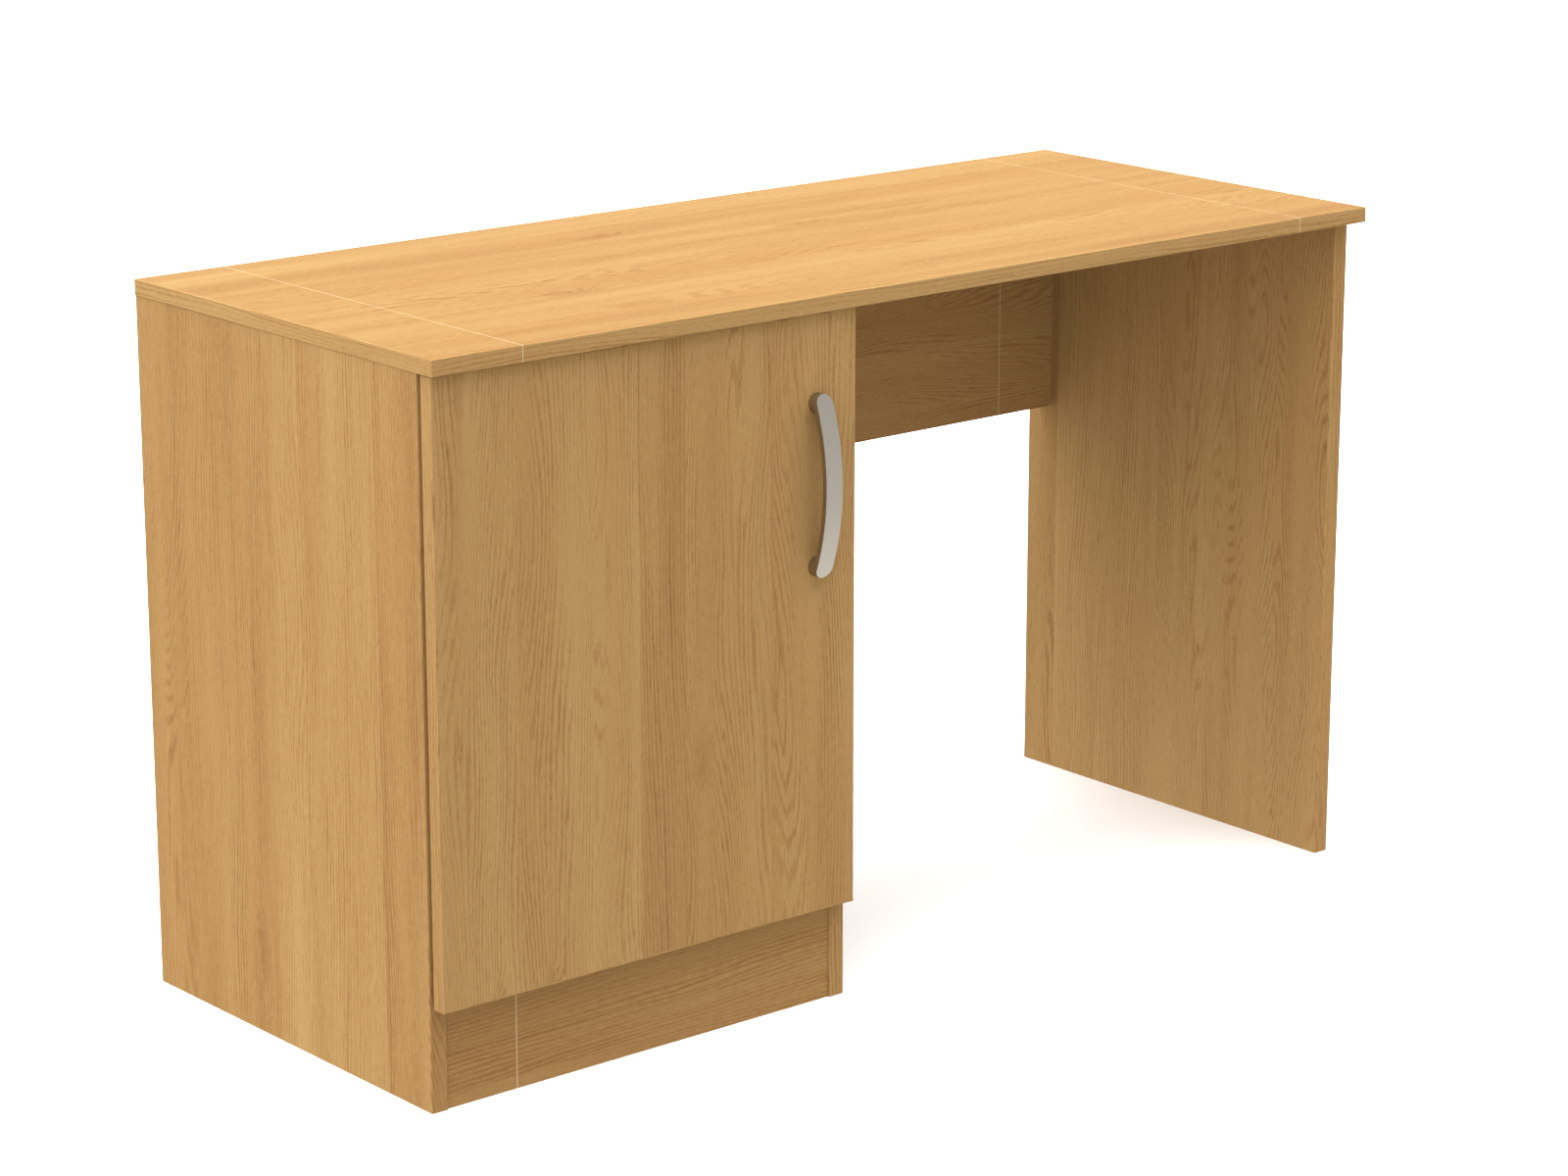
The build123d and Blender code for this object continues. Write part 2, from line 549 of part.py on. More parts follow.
def hinge_plate(height):
    """A mounting plate: a spine under the arm and a wing above and below it for the screws."""
    plate_x = (SIDE_IN, SIDE_IN + PLATE_THICK)
    spine_y = (CARCASS_FRONT + PLATE_INSET, ARM_REAR_Y - PLATE_CORNER)
    wing_y = about(PLATE_SCREW_Y, PLATE_WING_HALF_DEPTH)
    wing = block(plate_x, wing_y, about(height, PLATE_SCREW_HALF_SPACING + PLATE_MARGIN))
    wing = fillet(wing.edges().filter_by(Axis.X), PLATE_CORNER)
    return block(plate_x, spine_y, about(height, PLATE_HALF_WIDTH)) + wing


def hinge(height):
    """One hinge's cup, arm, plate, pin and screws, with its bores in the door and in the side panel."""
    cup = hinge_cup(height)
    arm = hinge_arm(height)
    plate = hinge_plate(height)
    pin_half = KNUCKLE_HALF_WIDTH + EAR_PLAY + EAR_THICK
    pin = rod(Vector(PIVOT_X, PIVOT_Y, height - pin_half), UP, PIVOT_PIN_RADIUS, 2 * pin_half)
    cup_bore_start = Vector(CUP_X, DOOR_BACK + CUT_PAST, height)
    cup_bore_depth = CUP_DEPTH + CUP_BORE_PLAY + CUT_PAST
    door_bores = [rod(cup_bore_start, TO_FRONT, CUP_RADIUS + BORE_PLAY, cup_bore_depth)]
    panel_bores = []
    cup_screws = []
    plate_screws = []
    arm_screws = []
    arm_face_x = ARM_X + ARM_THICK / 2
    for side in EACH_WAY:
        seat = Vector(CUP_SCREW_X, DOOR_BACK + FLANGE_THICK, height + side * CUP_SCREW_HALF_SPACING)
        solid, bore = screw(seat, TO_FRONT, WOOD_SCREW, FLANGE_THICK + SCREW_BITE)
        cup_screws.append(solid)
        door_bores.append(bore)
        cup -= bore
        seat = Vector(SIDE_IN + PLATE_THICK, PLATE_SCREW_Y, height + side * PLATE_SCREW_HALF_SPACING)
        solid, bore = screw(seat, TO_LEFT, PLATE_SCREW, PLATE_THICK + SCREW_BITE)
        plate_screws.append(solid)
        panel_bores.append(bore)
        plate -= bore
        seat = Vector(arm_face_x, PLATE_SCREW_Y + side * ARM_SCREW_HALF_SPACING, height)
        solid, bore = screw(seat, TO_LEFT, WOOD_SCREW, arm_face_x - SIDE_IN - ARM_PLAY)
        arm_screws.append(solid)
        arm -= bore
        plate -= bore
    return (cup, arm, plate), pin, (cup_screws, plate_screws, arm_screws), door_bores, panel_bores


# Magnetic catch: its housing hangs from the front rail and its strike plate is on the door

def catch():
    """The catch's housing, its magnet, its two screws and their bores in the rail."""
    housing_y = (CARCASS_FRONT + CATCH_SET_BACK, CARCASS_FRONT + CATCH_SET_BACK + CATCH_DEPTH)
    housing_z = (RAIL_BOTTOM - CATCH_HEIGHT, RAIL_BOTTOM)
    housing = block(about(CATCH_X, CATCH_WIDTH / 2), housing_y, housing_z)
    housing = fillet(housing.edges().filter_by(Axis.Z), CATCH_CORNER)
    magnet_y = (CARCASS_FRONT - MAGNET_PROUD, CARCASS_FRONT - MAGNET_PROUD + MAGNET_DEPTH)
    magnet = block(about(CATCH_X, MAGNET_WIDTH / 2), magnet_y, (MAGNET_TOP - MAGNET_HEIGHT, MAGNET_TOP))
    housing -= magnet
    screws = []
    bores = []
    for side in EACH_WAY:
        seat_x = CATCH_X + side * CATCH_SCREW_HALF_SPACING
        seat = Vector(seat_x, CARCASS_FRONT + CATCH_SCREW_INSET, housing_z[0] + CATCH_FLOOR)
        solid, bore = screw(seat, UP, WOOD_SCREW, CATCH_HEIGHT - CATCH_FLOOR + SCREW_BITE)
        screws.append(solid)
        bores.append(bore)
        housing -= bore
        housing -= rod(seat, DOWN, WOOD_SCREW[1] + BORE_PLAY, CATCH_FLOOR + CUT_PAST)
    return housing, magnet, screws, bores


def strike():
    """The strike plate on the door's back, its screw and the screw's bore."""
    middle_z = MAGNET_TOP - MAGNET_HEIGHT / 2
    width, height = STRIKE_SIZE
    plate_y = (DOOR_BACK, DOOR_BACK + STRIKE_THICK)
    plate = block(about(CATCH_X, width / 2), plate_y, about(middle_z, height / 2))
    seat = Vector(CATCH_X - STRIKE_SCREW_OFFSET, plate_y[1], middle_z)
    solid, bore = screw(seat, TO_FRONT, STRIKE_SCREW, STRIKE_THICK + DOOR_THICK / 2)
    return plate - bore, solid, bore


def door_bumpers():
    """The two soft pads that the door closes on."""
    pads = []
    for z in (DOOR_BOTTOM + BUMPER_END_DISTANCE, DOOR_TOP - BUMPER_END_DISTANCE):
        seat = Vector((INNER_IN + INNER_OUT) / 2, DOOR_BACK, z)
        pad = rod(seat, TO_BACK, BUMPER_RADIUS, BUMPER_HEIGHT)
        pads.append(fillet(outer_face(pad, TO_BACK).edges(), BUMPER_HEIGHT / 2))
    return pads


# The whole desk

cam_locks, cam_bolts, wood_dowels, joint_bores = board_joints()
desktop_screws, desktop_screw_bores = rail_screws()
corner_blocks, corner_block_screws, block_bores = all_corner_blocks()
shelf_pins, pin_bores = all_shelf_pins()
catch_housing, catch_magnet, catch_screws, catch_bores = catch()
strike_plate, strike_screw, strike_bore = strike()
handle_screws, handle_bores = handle_fixings()
desk_bores = joint_bores + desktop_screw_bores + block_bores + pin_bores + catch_bores
door_bores = handle_bores + [strike_bore]

parts = {}
hinge_pins = []
hinge_cup_screws = []
hinge_plate_screws = []
hinge_arm_screws = []
for place, height in HINGE_HEIGHTS.items():
    pieces, pin, screws, cup_bores, panel_bores = hinge(height)
    for piece, shape in zip(("cup", "arm", "plate"), pieces):
        parts[f"{place}_hinge_{piece}"] = shape
    hinge_pins.append(pin)
    hinge_cup_screws.extend(screws[0])
    hinge_plate_screws.extend(screws[1])
    hinge_arm_screws.extend(screws[2])
    door_bores.extend(cup_bores)
    desk_bores.extend(panel_bores)

board, front, rear, left, right = rimmed_desktop((LEFT, RIGHT), (FRONT, BACK), (UNDERSIDE, DESK_HEIGHT))
parts["desktop"] = drilled(board, desk_bores)
parts["desktop_front_edging"] = front
parts["desktop_rear_edging"] = rear
parts["desktop_left_edging"] = left
parts["desktop_right_edging"] = right

for name, outer_x, inner_x, has_groove in (
    ("left_side_panel", SIDE_OUT, SIDE_IN, True),
    ("inner_side_panel", INNER_OUT, INNER_IN, True),
    ("end_panel", END_OUT, END_IN, False),
):
    board, front, rear = upright(outer_x, inner_x, has_groove)
    parts[name] = drilled(board, desk_bores)
    parts[name + "_front_edging"] = front
    parts[name + "_rear_edging"] = rear

kneehole_x = (INNER_OUT, END_IN)
modesty = block(kneehole_x, MODESTY_Y, (MODESTY_BOTTOM + EDGING_THICK, UNDERSIDE))
parts["modesty_panel"] = drilled(modesty, desk_bores)
parts["modesty_bottom_edging"] = edging(
    kneehole_x, MODESTY_Y, (MODESTY_BOTTOM, MODESTY_BOTTOM + EDGING_THICK), DOWN
)

plinth = block(INSIDE_X, (PLINTH_FRONT, PLINTH_REAR), (0.0, PLINTH_HEIGHT))
parts["plinth"] = drilled(plinth, desk_bores)
board, front = edged_shelf(INSIDE_X, (CARCASS_FRONT, BACK_FRONT), (PLINTH_HEIGHT, BASE_TOP))
parts["cupboard_base"] = drilled(board, desk_bores)
parts["cupboard_base_edging"] = front
board, front = edged_shelf(INSIDE_X, (CARCASS_FRONT, CARCASS_FRONT + RAIL_DEPTH), (RAIL_BOTTOM, UNDERSIDE))
parts["front_rail"] = drilled(board, desk_bores)
parts["front_rail_edging"] = front
rear_rail = block(INSIDE_X, (REAR_RAIL_FRONT, BACK_FRONT), (RAIL_BOTTOM, UNDERSIDE))
parts["rear_rail"] = drilled(rear_rail, desk_bores)

back_x = (SIDE_IN - GROOVE_DEPTH + BACK_PLAY, INNER_IN + GROOVE_DEPTH - BACK_PLAY)
parts["cupboard_back"] = block(back_x, (BACK_FRONT, BACK_REAR), (PLINTH_HEIGHT, UNDERSIDE - BACK_PLAY))
shelf_x = (SIDE_IN + SHELF_PLAY, INNER_IN - SHELF_PLAY)
shelf_y = (CARCASS_FRONT + SHELF_SET_BACK, BACK_FRONT - SHELF_PLAY)
shelf_bottom = PIN_HEIGHT + PIN_TONGUE_THICK / 2
shelf_z = (shelf_bottom, shelf_bottom + BOARD_THICK)
parts["shelf"], parts["shelf_edging"] = edged_shelf(shelf_x, shelf_y, shelf_z)

door_x = (DOOR_LEFT, DOOR_RIGHT)
board, top, bottom, left, right = rimmed_door(door_x, (DOOR_FRONT, DOOR_BACK), (DOOR_BOTTOM, DOOR_TOP))
parts["door_panel"] = drilled(board, door_bores)
parts["door_top_edging"] = top
parts["door_bottom_edging"] = bottom
parts["door_left_edging"] = left
parts["door_right_edging"] = right
parts["door_handle"] = bow_handle()
parts["catch_housing"] = catch_housing
parts["catch_magnet"] = catch_magnet
parts["strike_plate"] = strike_plate

groups = {
    "cam_locks": cam_locks,
    "cam_bolts": cam_bolts,
    "wood_dowels": wood_dowels,
    "desktop_screws": desktop_screws,
    "corner_blocks": corner_blocks,
    "corner_block_screws": corner_block_screws,
    "shelf_pins": shelf_pins,
    "handle_screws": handle_screws,
    "hinge_pins": hinge_pins,
    "hinge_cup_screws": hinge_cup_screws,
    "hinge_plate_screws": hinge_plate_screws,
    "hinge_arm_screws": hinge_arm_screws,
    "catch_screws": catch_screws,
    "strike_screw": [strike_screw],
    "door_bumpers": door_bumpers(),
}
for name, solids in groups.items():
    parts[name] = Compound(children=[Solid(solid.solids()[0].wrapped) for solid in solids])

os.makedirs("parts", exist_ok=True)
for name, shape in parts.items():
    export_step(shape, f"parts/{name}.step")
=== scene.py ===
import json
import math

import bpy
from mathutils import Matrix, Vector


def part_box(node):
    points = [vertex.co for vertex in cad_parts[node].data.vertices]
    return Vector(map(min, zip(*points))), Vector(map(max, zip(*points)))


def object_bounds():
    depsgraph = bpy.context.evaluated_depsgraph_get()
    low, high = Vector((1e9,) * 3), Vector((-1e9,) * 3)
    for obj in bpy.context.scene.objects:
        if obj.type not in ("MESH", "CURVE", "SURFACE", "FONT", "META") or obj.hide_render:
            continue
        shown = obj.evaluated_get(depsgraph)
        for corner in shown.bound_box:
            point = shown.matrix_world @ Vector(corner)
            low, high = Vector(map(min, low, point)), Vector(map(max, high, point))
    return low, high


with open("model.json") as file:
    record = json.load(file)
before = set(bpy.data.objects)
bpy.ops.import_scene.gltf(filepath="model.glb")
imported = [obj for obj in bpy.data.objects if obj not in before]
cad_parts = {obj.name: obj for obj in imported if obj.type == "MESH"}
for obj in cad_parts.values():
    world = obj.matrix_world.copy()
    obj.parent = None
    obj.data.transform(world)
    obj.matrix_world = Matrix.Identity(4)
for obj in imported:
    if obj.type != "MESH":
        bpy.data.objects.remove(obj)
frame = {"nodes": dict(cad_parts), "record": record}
cad_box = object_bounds()

# Lengths are in metres, angles in degrees and colours linear red, green and blue. A noise scale says how
# many of the noise's features fit in a metre, along each of three directions. On oak those are along the
# grain, across it and through the board. A band is the (low, high) between which a value goes from 0 to 1.

# Camera: where the photograph was taken from. Unturned, it looks level along +Y. It turns clockwise.
CAMERA_PLACE = (-2.7512, -3.2813, 1.5051)
CAMERA_TURN = 39.984
CAMERA_DOWN = 15.012
CAMERA_LENS_MM = 99.456
SENSOR_MM = 36.0

# Light: the sky's brightness by the height of the direction, from -1 straight below to 1 overhead, and two
# broad suns, one overhead and one at the left.
SKY_LEVELS = ((-0.8, 1.0), (-0.35, 0.7), (0.0, 0.62), (0.15, 0.6), (1.0, 0.35))
SKY_STRENGTH = 1.7
SUN_SPREAD = 80.0
OVERHEAD_STRENGTH = 6.0
LEFT_STRENGTH = 2.2
LEFT_TILT = -65.0

# Floor: a pale disc with a faint mottle, wide enough to pass for endless
FLOOR_RADIUS = 40.0
FLOOR_SIDES = 96
FLOOR_COLOUR = (0.97, 0.97, 0.97)
FLOOR_ROUGHNESS = 0.8
FLOOR_SPECULAR = 0.1
MOTTLE_LIGHTER = 1.02
MOTTLE_SCALE = (3.0, 3.0, 3.0)

# Oak print: staves side by side, each with its own stretch of the pattern. Each board is cut from a place of
# its own in the print, which is PRINT_START plus its node's number times PRINT_STEP.
PRINT_START = (0.31, 0.17, 0.0)
PRINT_STEP = (1.7, 0.83, 0.37)
STAVE_WIDTH = 0.085
STAVE_UNEVENNESS = 0.9  # 0 for staves of one width, 1 for widths at random
STAVE_SHIFT = 37.0  # the most that a stave's pattern is shifted along the grain
LEAN = 0.05  # how far apart two staves' grain can lean, across the board per metre along it
SWAY_SCALE = (2.4, 7.0, 7.0)
SWAY_WIDTH = 0.03

# Growth lines: dark lines along the grain, which the figure bends into flames in some staves
LINE_PITCH = 0.0044
LINE_BAND = (-0.2, 1.0)
LINE_STRENGTH_SCALE = (3.5, 45.0, 30.0)
LINE_STRENGTH_BAND = (0.25, 0.7)
FIGURE_SCALE = (2.1, 11.0, 5.0)
PLAIN_FIGURE = 3.0  # how many pitches the figure can bend the lines by in the plainest stave
FLAME_FIGURE = 42.0  # how many more it can bend them by in the liveliest
WANDER_SCALE = (9.0, 160.0, 60.0)
WANDER_LINES = 1.5

# Knots: random cells, so many to a metre along and across, with a knot at the heart of a few of them
CELLS_ALONG = 5.0
CELLS_ACROSS = 16.0
KNOT_EDGE = 0.26  # where the knot ends, in cells from its heart
KNOT_RARITY = 0.95  # the share of the cells that have no knot
KNOT_LINES = 3.0  # how many pitches a knot bends the growth lines by

# Fine texture of the print
FIBRE_SCALE = (90.0, 900.0, 400.0)
FIBRE_NOISE_ROUGHNESS = 0.6
SPECKLE_SCALE = (420.0, 700.0, 500.0)
PORE_SCALE = (110.0, 1100.0, 400.0)
PORE_BAND = (0.54, 0.72)
PORES_EVERYWHERE = 0.3
PORES_IN_LINES = 0.7
TONE_SCALE = (1.3, 24.0, 10.0)
RED_SCALE = (1.0, 15.0, 10.0)
RED_BAND = (0.45, 0.75)
RELIEF_HEIGHT = 0.00005
RELIEF_STRENGTH = 0.5
OAK_ROUGHNESS = 0.6
PORE_ROUGHNESS = 0.15
OAK_SPECULAR = 0.015

# The print's colours by tone, from 0 dark to 1 light, and what each part of the pattern adds to the tone
OAK_TONES = ((0.05, (0.217, 0.106, 0.037)), (0.5, (0.292, 0.168, 0.062)), (0.95, (0.358, 0.226, 0.090)))
BASE_TONE = 0.62
TONE_SHARE = 0.65
STAVE_SHARE = 0.2
FIBRE_SHARE = 0.72
SPECKLE_SHARE = 0.35
LINE_SHARE = -0.38
KNOT_SHARE = -0.25
RED_COLOUR = (0.285, 0.150, 0.055)
RED_SHARE = 0.3
PORE_COLOUR = (0.135, 0.057, 0.019)
PORE_SHARE = 0.46

# Seams: pale hairlines in the print, this far to each side of the desk's middle
SEAM_X = 0.5
SEAM_HALF_WIDTH = 0.0005
SEAM_COLOUR = (0.60, 0.50, 0.34)
SEAM_SHOWS = 0.5

# Chipboard: what shows on a board's bare edges, between the laminate's thin skins
LAMINATE_SKIN = 0.0003
CHIPS_PER_METRE = 420.0
CHIP_COLOURS = ((0.0, (0.23, 0.145, 0.07)), (0.5, (0.34, 0.225, 0.115)), (1.0, (0.46, 0.325, 0.18)))
CHIP_ROUGHNESS = 0.3

# Beech: the bare wood of the dowels
BEECH_SCALE = (120.0, 1400.0, 1400.0)
BEECH_COLOURS = ((0.3, (0.42, 0.25, 0.13)), (0.7, (0.62, 0.42, 0.24)))
BEECH_RELIEF = 0.0001
BEECH_ROUGHNESS = 0.7
BEECH_SPECULAR = 0.3

# Metals and plastics: their colour is a little darker where the noise is low
SHADE_BAND = (0.3, 0.7)
METAL_DARKER = 0.9
METAL_NOISE_ROUGHNESS = 0.6
METAL_ROUGHNESS_SPREAD = 0.18
BRUSHED_RELIEF = 0.00002
CAST_RELIEF = 0.00006
PLASTIC_DARKER = 0.85
PLASTIC_CLOUD_SCALE = (45.0, 45.0, 45.0)
PLASTIC_ROUGHNESS_SPREAD = 0.15
PLASTIC_SPECULAR = 0.4
PLASTIC_RELIEF = 0.00006
PLASTIC_GRAIN = 1800.0
RUBBER_GRAIN = 900.0

# For each board, the axis along its grain, the axis through it, and whether the print's seams cross it
BOARDS = {
    "desktop": ("x", "z", True),
    "left_side_panel": ("z", "x", False),
    "inner_side_panel": ("z", "x", False),
    "end_panel": ("z", "x", False),
    "modesty_panel": ("x", "y", True),
    "plinth": ("x", "y", True),
    "cupboard_base": ("x", "z", False),
    "front_rail": ("x", "z", False),
    "rear_rail": ("x", "z", False),
    "cupboard_back": ("z", "y", False),
    "shelf": ("x", "z", False),
    "door_panel": ("z", "y", False),
}
SEAMED_EDGINGS = ("desktop_front_edging", "desktop_rear_edging")
# Painted shade and light: the plinth's print is darkened to stand for the shade it lies in under the door,
# and the end panel's print is lightened to stand for light on its face in the kneehole.
PAINTED_LIGHT_AND_SHADE = {"plinth": -0.18, "end_panel": 0.08}  # added to the tone of these boards: painted shade on the plinth, painted light on the end panel
AXES = {"x": 0, "y": 1, "z": 2}

# Where a Mix node keeps its colour sockets
MIX_FACTOR = 0
MIX_START = 6
MIX_END = 7
MIX_RESULT = 2


class Tree:
    """The node tree of a material or of the world, with short calls for the nodes that they share."""

    def __init__(self, owner, shader="Principled BSDF"):
        owner.use_nodes = True
        self.owner = owner
        self.nodes = owner.node_tree.nodes
        self.links = owner.node_tree.links
        self.shader = self.nodes[shader]

    def add(self, kind, inputs=None, **settings):
        """A new node. Its settings come before its inputs, because they decide which inputs it has."""
        node = self.nodes.new(kind)
        for name, value in settings.items():
            setattr(node, name, value)
        for name, value in (inputs or {}).items():
            self.feed(node.inputs[name], value)
        return node

    def feed(self, socket, value):
        """Links an output to the socket, or sets the socket's own value."""
        if isinstance(value, bpy.types.NodeSocket):
            self.links.new(value, socket)
        elif socket.type == "RGBA":
            socket.default_value = (*value, 1.0)
        else:
            socket.default_value = value

    def point(self):
        """The point's place in the object's own frame."""
        return self.add("ShaderNodeTexCoord").outputs["Object"]

    def split(self, vector):
        """The vector's x, y and z."""
        return self.add("ShaderNodeSeparateXYZ", {"Vector": vector}).outputs

    def vector(self, x, y, z):
        return self.add("ShaderNodeCombineXYZ", {"X": x, "Y": y, "Z": z}).outputs[0]

    def math(self, operation, *values, clamp=False):
        inputs = dict(enumerate(values))
        return self.add("ShaderNodeMath", inputs, operation=operation, use_clamp=clamp).outputs[0]

    def vary(self, base, value, share):
        """base, raised by share times how far the value is above its middle, 0.5."""
        return self.math("MULTIPLY_ADD", self.math("SUBTRACT", value, 0.5), share, base)

    def band(self, value, low, high):
        """0 at low, 1 at high, smooth between them and level beyond them."""
        inputs = {"Value": value, "From Min": low, "From Max": high}
        return self.add("ShaderNodeMapRange", inputs, interpolation_type="SMOOTHSTEP").outputs[0]

    def noise(self, vector, scale, detail=2.0, roughness=0.5):
        """Noise from 0 to 1, with a scale of its own along each axis."""
        scaled = self.add("ShaderNodeVectorMath", {0: vector, 1: scale}, operation="MULTIPLY").outputs[0]
        inputs = {"Vector": scaled, "Scale": 1.0, "Detail": detail, "Roughness": roughness}
        return self.add("ShaderNodeTexNoise", inputs).outputs["Fac"]

    def cells(self, inputs, **settings):
        """Random cells: three numbers from 0 to 1 that each cell has, and the distance from its heart."""
        texture = self.add("ShaderNodeTexVoronoi", inputs, **settings)
        numbers = self.add("ShaderNodeSeparateColor", {"Color": texture.outputs["Color"]}).outputs
        return numbers, texture.outputs["Distance"]

    def mix(self, factor, start, end):
        """The colour that goes from start, where the factor is 0, to end, where it is 1."""
        inputs = {MIX_FACTOR: factor, MIX_START: start, MIX_END: end}
        return self.add("ShaderNodeMix", inputs, data_type="RGBA").outputs[MIX_RESULT]

    def ramp(self, value, stops):
        """The colour at the value between stops, which are (position, colour) pairs in rising order."""
        node = self.add("ShaderNodeValToRGB", {"Fac": value})
        elements = node.color_ramp.elements
        for element, (position, colour) in zip(elements, (stops[0], stops[-1])):
            element.position = position
            element.color = (*colour, 1.0)
        for position, colour in stops[1:-1]:
            elements.new(position).color = (*colour, 1.0)
        return node.outputs[0]

    def bump(self, height, distance, strength=1.0):
        inputs = {"Height": height, "Distance": distance, "Strength": strength}
        self.feed(self.shader.inputs["Normal"], self.add("ShaderNodeBump", inputs).outputs[0])

    def finish(self, colour, roughness, metallic=0.0, specular=0.5):
        """Feeds the shader and returns the material."""
        self.feed(self.shader.inputs["Base Color"], colour)
        self.feed(self.shader.inputs["Roughness"], roughness)
        self.feed(self.shader.inputs["Metallic"], metallic)
        self.feed(self.shader.inputs["Specular IOR Level"], specular)
        return self.owner


def new_material(name):
    return Tree(bpy.data.materials.new(name))


def times(colour, factor):
    return tuple(channel * factor for channel in colour)


# Wood

def knots(tree, along, across):
    """1 at the heart of a rare knot and 0 past its edge."""
    row = tree.math("MULTIPLY", along, CELLS_ALONG)
    column = tree.math("MULTIPLY", across, CELLS_ACROSS)
    cells = {"Vector": tree.vector(row, column, 0.0), "Scale": 1.0}
    numbers, distance = tree.cells(cells, voronoi_dimensions="2D")
    near = tree.band(distance, KNOT_EDGE, 0.0)
    return tree.math("MULTIPLY", near, tree.math("GREATER_THAN", numbers[0], KNOT_RARITY))


def growth_lines(tree, straight, wavy, across, flame, knot):
    """0 to 1 in the dark lines. flame is 0 in a plain stave and 1 in a lively one."""
    bend = tree.math("MULTIPLY_ADD", tree.math("MULTIPLY", flame, flame), FLAME_FIGURE, PLAIN_FIGURE)
    lines = tree.math("DIVIDE", across, LINE_PITCH)
    lines = tree.vary(lines, tree.noise(straight, FIGURE_SCALE, detail=1.0), bend)
    lines = tree.math("MULTIPLY_ADD", knot, KNOT_LINES, lines)
    lines = tree.vary(lines, tree.noise(wavy, WANDER_SCALE), WANDER_LINES)
    wave = tree.math("SINE", tree.math("MULTIPLY", lines, math.tau))
    strength = tree.band(tree.noise(wavy, LINE_STRENGTH_SCALE), *LINE_STRENGTH_BAND)
    return tree.math("MULTIPLY", tree.band(wave, *LINE_BAND), strength)


def pores(tree, wavy, line):
    """0 to 1 in the pores, which are denser in the growth lines."""
    pits = tree.band(tree.noise(wavy, PORE_SCALE, detail=1.0), *PORE_BAND)
    return tree.math("MULTIPLY", pits, tree.math("MULTIPLY_ADD", line, PORES_IN_LINES, PORES_EVERYWHERE))


def oak_print(tree, along, across, through, painted_light_and_shade):
    """The print's colour, its pores and its relief. The last argument is added to the whole board's tone:
    painted light above 0, painted shade below 0.
    """
    staves = {"W": tree.math("DIVIDE", across, STAVE_WIDTH), "Scale": 1.0, "Randomness": STAVE_UNEVENNESS}
    (shift, slant, flame), _ = tree.cells(staves, voronoi_dimensions="1D")
    stave_along = tree.math("MULTIPLY_ADD", shift, STAVE_SHIFT, along)
    straight = tree.vector(stave_along, across, through)
    leaning = tree.vary(across, slant, tree.math("MULTIPLY", along, LEAN))
    swaying = tree.vary(leaning, tree.noise(straight, SWAY_SCALE, detail=1.0), SWAY_WIDTH)
    wavy = tree.vector(stave_along, swaying, through)

    knot = knots(tree, along, across)
    line = growth_lines(tree, straight, wavy, swaying, flame, knot)
    pore = pores(tree, wavy, line)
    fibre = tree.noise(wavy, FIBRE_SCALE, roughness=FIBRE_NOISE_ROUGHNESS)
    speckle = tree.noise(straight, SPECKLE_SCALE, detail=1.0)

    level = tree.vary(BASE_TONE + painted_light_and_shade, tree.noise(straight, TONE_SCALE), TONE_SHARE)
    level = tree.vary(level, shift, STAVE_SHARE)
    level = tree.vary(level, fibre, FIBRE_SHARE)
    level = tree.vary(level, speckle, SPECKLE_SHARE)
    level = tree.math("MULTIPLY_ADD", line, LINE_SHARE, level)
    level = tree.math("MULTIPLY_ADD", knot, KNOT_SHARE, level, clamp=True)
    colour = tree.ramp(level, OAK_TONES)
    red = tree.band(tree.noise(straight, RED_SCALE), *RED_BAND)
    colour = tree.mix(tree.math("MULTIPLY", red, RED_SHARE), colour, RED_COLOUR)
    colour = tree.mix(tree.math("MULTIPLY", pore, PORE_SHARE), colour, PORE_COLOUR)
    return colour, pore, tree.math("SUBTRACT", fibre, pore)


def draw_seams(tree, x, colour):
    """The colour with the print's hairlines in it."""
    from_seam = tree.math("ABSOLUTE", tree.math("SUBTRACT", tree.math("ABSOLUTE", x), SEAM_X))
    line = tree.math("LESS_THAN", from_seam, SEAM_HALF_WIDTH)
    return tree.mix(tree.math("MULTIPLY", line, SEAM_SHOWS), colour, SEAM_COLOUR)


def show_core(tree, place, core, colour, roughness):
    """The colour and roughness with chipboard wherever the place through the board is inside the core."""
    (chip, _, _), _ = tree.cells({"Vector": tree.point(), "Scale": CHIPS_PER_METRE})
    low, high = core
    above = tree.math("GREATER_THAN", place, low + LAMINATE_SKIN)
    inside = tree.math("MULTIPLY", above, tree.math("LESS_THAN", place, high - LAMINATE_SKIN))
    colour = tree.mix(inside, colour, tree.ramp(chip, CHIP_COLOURS))
    return colour, tree.math("MULTIPLY_ADD", inside, CHIP_ROUGHNESS, roughness, clamp=True)


def oak(name, grain, through, cut_from, seams, core=None, painted_light_and_shade=0.0):
    """Oak-effect laminate. core is the (low, high) through the board between which bare chipboard shows."""
    tree = new_material(name)
    place = dict(zip(AXES, tree.split(tree.point())))
    across = next(axis for axis in AXES if axis not in (grain, through))
    order = (grain, across, through)
    in_print = [tree.math("ADD", place[axis], start) for axis, start in zip(order, cut_from)]
    # the last argument passed on is the board's painted light (above 0) or painted shade (below 0) in its
    # tone
    colour, pore, relief = oak_print(tree, *in_print, painted_light_and_shade)
    roughness = tree.math("MULTIPLY_ADD", pore, PORE_ROUGHNESS, OAK_ROUGHNESS)
    if seams:
        colour = draw_seams(tree, place["x"], colour)
    if core is not None:
        colour, roughness = show_core(tree, place[through], core, colour, roughness)
    tree.bump(relief, RELIEF_HEIGHT, RELIEF_STRENGTH)
    return tree.finish(colour, roughness, specular=OAK_SPECULAR)


